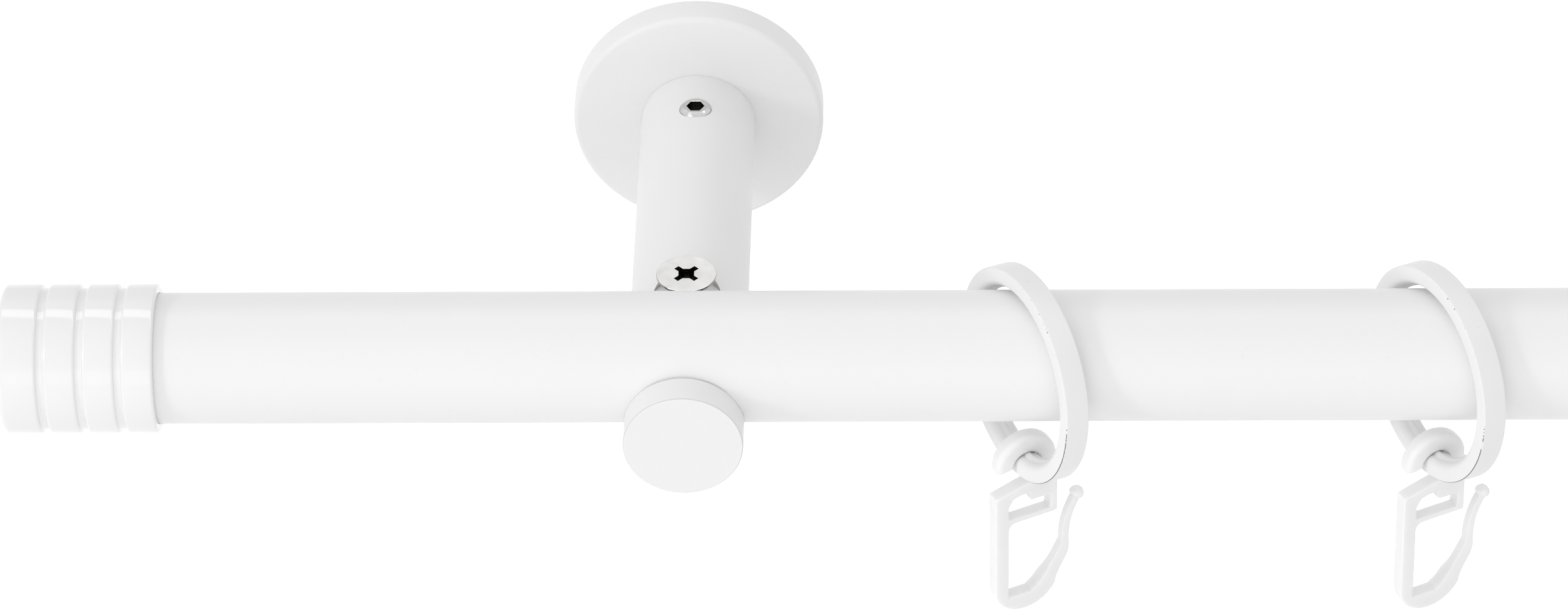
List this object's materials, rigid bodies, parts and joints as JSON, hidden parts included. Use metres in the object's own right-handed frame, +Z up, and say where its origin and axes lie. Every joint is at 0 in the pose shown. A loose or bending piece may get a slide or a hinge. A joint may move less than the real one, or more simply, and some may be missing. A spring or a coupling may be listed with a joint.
{
  "type": "curtain rod with brackets",
  "caption": "White curtain rod clamped in round cradle brackets with wall rosettes, with grooved pull-off finials and sliding rings that carry clip-on hooks for curtain tape.",
  "frame": {"origin": "middle of the four wall screw holes, on the plane of the wall's face", "axes": "+X along the rod, to the right as seen from the room; +Y into the wall; +Z up"},
  "size_m": [0.6232, 0.0898, 0.0619],
  "materials": {
    "rod_white": "smooth satin white powder coat",
    "bracket_white": "smooth satin white powder coat",
    "ring_white": "satin white paint, a little worn along the edges",
    "finial_white": "smooth satin white",
    "hook_plastic": "milky translucent moulding",
    "screw_chrome": "bright plated",
    "zinc_steel": "zinc plated"
  },
  "bodies": {
    "frame": {"rod": "rod_white", "wall_plate_left": "zinc_steel", "spigot_left": "zinc_steel", "rosette_left": "bracket_white", "post_left": "bracket_white", "wall_plate_right": "zinc_steel", "spigot_right": "zinc_steel", "rosette_right": "bracket_white", "post_right": "bracket_white"},
    "finial_left": {"finial_left": "finial_white"},
    "clamp_screw_left": {"clamp_screw_left": "screw_chrome"},
    "set_screw_left": {"set_screw_left": "screw_chrome"},
    "finial_right": {"finial_right": "finial_white"},
    "clamp_screw_right": {"clamp_screw_right": "screw_chrome"},
    "set_screw_right": {"set_screw_right": "screw_chrome"},
    "ring_1": {"ring_1": "ring_white"},
    "hook_1": {"hook_1": "hook_plastic"},
    "ring_2": {"ring_2": "ring_white"},
    "hook_2": {"hook_2": "hook_plastic"},
    "ring_3": {"ring_3": "ring_white"},
    "hook_3": {"hook_3": "hook_plastic"},
    "ring_4": {"ring_4": "ring_white"},
    "hook_4": {"hook_4": "hook_plastic"},
    "ring_5": {"ring_5": "ring_white"},
    "hook_5": {"hook_5": "hook_plastic"},
    "ring_6": {"ring_6": "ring_white"},
    "hook_6": {"hook_6": "hook_plastic"}
  },
  "joints": [
    {"name": "finial_left_pull", "type": "slide", "parent": "frame", "child": "finial_left", "axis": [-1, 0, 0], "range_m": [0, 0.03]},
    {"name": "clamp_screw_left_turn", "type": "hinge", "parent": "frame", "child": "clamp_screw_left", "pos_m": [-0.208, -0.0611, 0.007], "axis": [0, 0, 1], "continuous": true},
    {"name": "set_screw_left_turn", "type": "hinge", "parent": "frame", "child": "set_screw_left", "pos_m": [-0.208, -0.0141, 0.008], "axis": [0, 0, 1], "continuous": true},
    {"name": "finial_right_pull", "type": "slide", "parent": "frame", "child": "finial_right", "axis": [1, 0, 0], "range_m": [0, 0.03]},
    {"name": "clamp_screw_right_turn", "type": "hinge", "parent": "frame", "child": "clamp_screw_right", "pos_m": [0.208, -0.0611, 0.007], "axis": [0, 0, 1], "continuous": true},
    {"name": "set_screw_right_turn", "type": "hinge", "parent": "frame", "child": "set_screw_right", "pos_m": [0.208, -0.0141, 0.008], "axis": [0, 0, 1], "continuous": true},
    {"name": "ring_1_slide", "type": "slide", "parent": "frame", "child": "ring_1", "axis": [1, 0, 0], "range_m": [-0.03, 0.014]},
    {"name": "hook_1_swing", "type": "hinge", "parent": "ring_1", "child": "hook_1", "pos_m": [-0.15649, -0.07564, -0.01325], "axis": [0.4617, -0.887, 0], "range_deg": [-30, 30]},
    {"name": "ring_2_slide", "type": "slide", "parent": "frame", "child": "ring_2", "axis": [1, 0, 0], "range_m": [-0.014, 0.014]},
    {"name": "hook_2_swing", "type": "hinge", "parent": "ring_2", "child": "hook_2", "pos_m": [-0.09394, -0.07564, -0.01325], "axis": [0.4617, -0.887, 0], "range_deg": [-30, 30]},
    {"name": "ring_3_slide", "type": "slide", "parent": "frame", "child": "ring_3", "axis": [1, 0, 0], "range_m": [-0.014, 0.014]},
    {"name": "hook_3_swing", "type": "hinge", "parent": "ring_3", "child": "hook_3", "pos_m": [-0.03138, -0.07564, -0.01325], "axis": [0.4617, -0.887, 0], "range_deg": [-30, 30]},
    {"name": "ring_4_slide", "type": "slide", "parent": "frame", "child": "ring_4", "axis": [1, 0, 0], "range_m": [-0.014, 0.014]},
    {"name": "hook_4_swing", "type": "hinge", "parent": "ring_4", "child": "hook_4", "pos_m": [0.03119, -0.07564, -0.01325], "axis": [0.4617, -0.887, 0], "range_deg": [-30, 30]},
    {"name": "ring_5_slide", "type": "slide", "parent": "frame", "child": "ring_5", "axis": [1, 0, 0], "range_m": [-0.014, 0.014]},
    {"name": "hook_5_swing", "type": "hinge", "parent": "ring_5", "child": "hook_5", "pos_m": [0.09374, -0.07564, -0.01325], "axis": [0.4617, -0.887, 0], "range_deg": [-30, 30]},
    {"name": "ring_6_slide", "type": "slide", "parent": "frame", "child": "ring_6", "axis": [1, 0, 0], "range_m": [-0.014, 0.03]},
    {"name": "hook_6_swing", "type": "hinge", "parent": "ring_6", "child": "hook_6", "pos_m": [0.1563, -0.07564, -0.01325], "axis": [0.4617, -0.887, 0], "range_deg": [-30, 30]}
  ]
}
